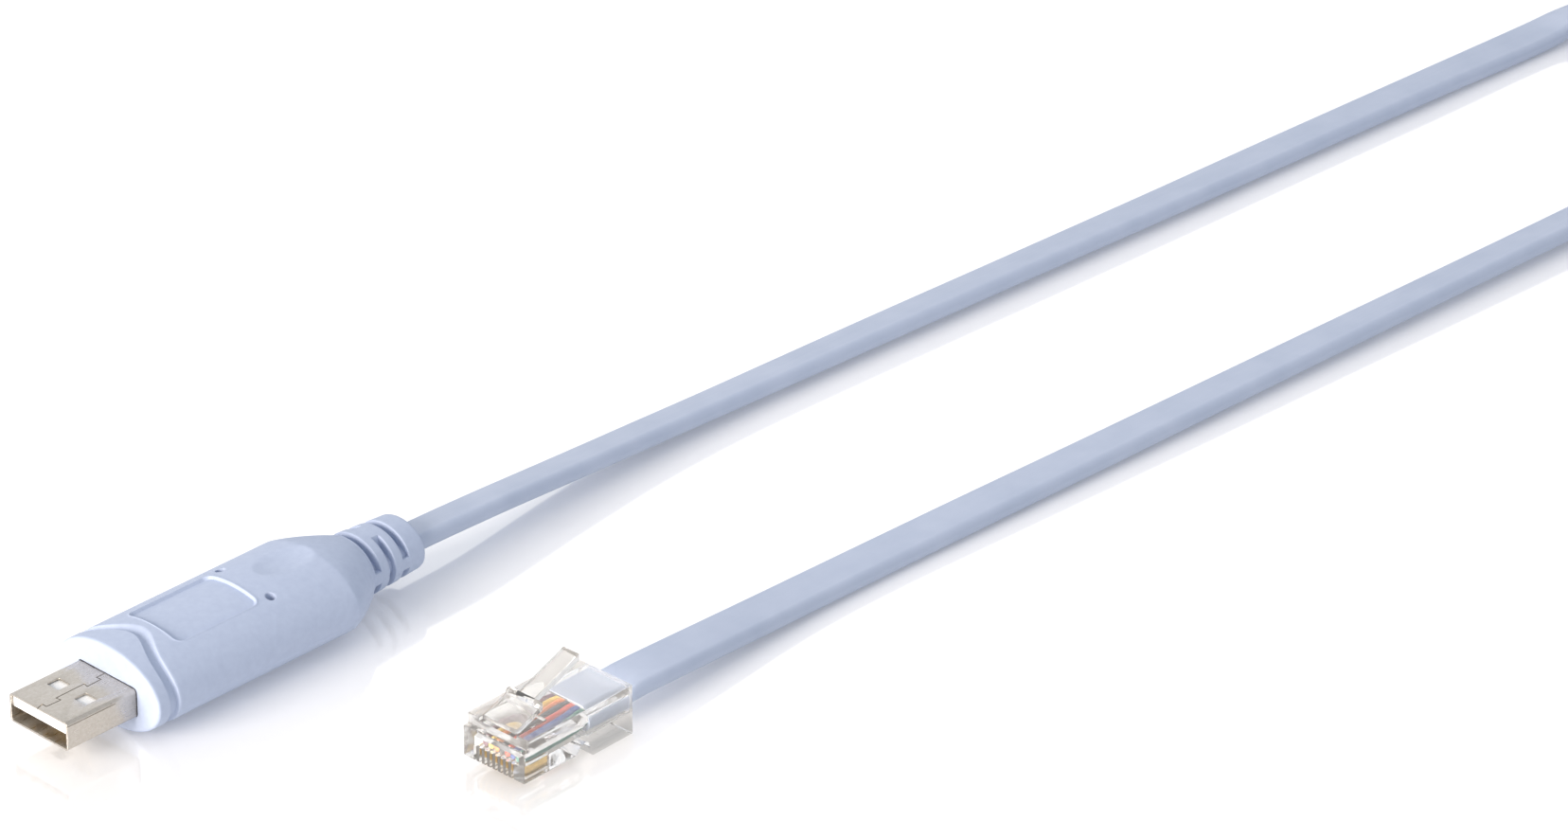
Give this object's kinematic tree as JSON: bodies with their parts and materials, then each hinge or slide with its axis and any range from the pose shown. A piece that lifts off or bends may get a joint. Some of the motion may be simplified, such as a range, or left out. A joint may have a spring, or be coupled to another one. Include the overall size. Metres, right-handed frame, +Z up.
{
  "type": "rj45 console cable",
  "caption": "Flat pale blue console cable with a USB-A plug in a moulded converter housing and a clear modular plug, its spare length coiled and tied.",
  "frame": {"origin": "on the floor, under the middle of the USB plug with its housing and strain relief", "axes": "+X runs along the USB plug from its mouth towards the lead, +Y to the left of that, +Z up"},
  "size_m": [0.4107, 0.113, 0.0138],
  "materials": {
    "nickel_shell": "nickel-plated sheet, slightly rough",
    "white_insulator": "smooth moulded",
    "gold_contact": "gold-plated",
    "blue_overmould": "satin moulded",
    "blue_lead": "satin extruded",
    "tie_strap": "woven hook and loop strap",
    "clear_plug": "clear polycarbonate",
    "wire_green": "extruded insulation",
    "wire_blue": "extruded insulation",
    "wire_red": "extruded insulation",
    "wire_black": "extruded insulation",
    "wire_orange": "extruded insulation",
    "wire_yellow": "extruded insulation",
    "wire_brown": "extruded insulation",
    "wire_white": "extruded insulation"
  },
  "bodies": {
    "cable": {"usb_shell": "nickel_shell", "usb_tongue": "white_insulator", "usb_contact_1": "gold_contact", "usb_contact_2": "gold_contact", "usb_contact_3": "gold_contact", "usb_contact_4": "gold_contact", "overmould": "blue_overmould", "cord_usb_run": "blue_lead", "cord_rj45_run": "blue_lead", "cord_coil": "blue_lead", "coil_tie": "tie_strap", "rj45_body": "clear_plug", "rj45_contact_1": "gold_contact", "rj45_contact_2": "gold_contact", "rj45_contact_3": "gold_contact", "rj45_contact_4": "gold_contact", "rj45_contact_5": "gold_contact", "rj45_contact_6": "gold_contact", "rj45_contact_7": "gold_contact", "rj45_contact_8": "gold_contact", "conductor_1": "wire_green", "conductor_2": "wire_blue", "conductor_3": "wire_red", "conductor_4": "wire_black", "conductor_5": "wire_orange", "conductor_6": "wire_yellow", "conductor_7": "wire_brown", "conductor_8": "wire_white"},
    "latch": {"rj45_latch": "clear_plug"}
  },
  "joints": [
    {"name": "latch_flex", "type": "hinge", "parent": "cable", "child": "latch", "pos_m": [0.00676, -0.04871, 0.0083], "axis": [-0.0262, 0.9997, 0], "range_deg": [0, 15], "stiffness_Nm_per_rad": 0.1}
  ]
}
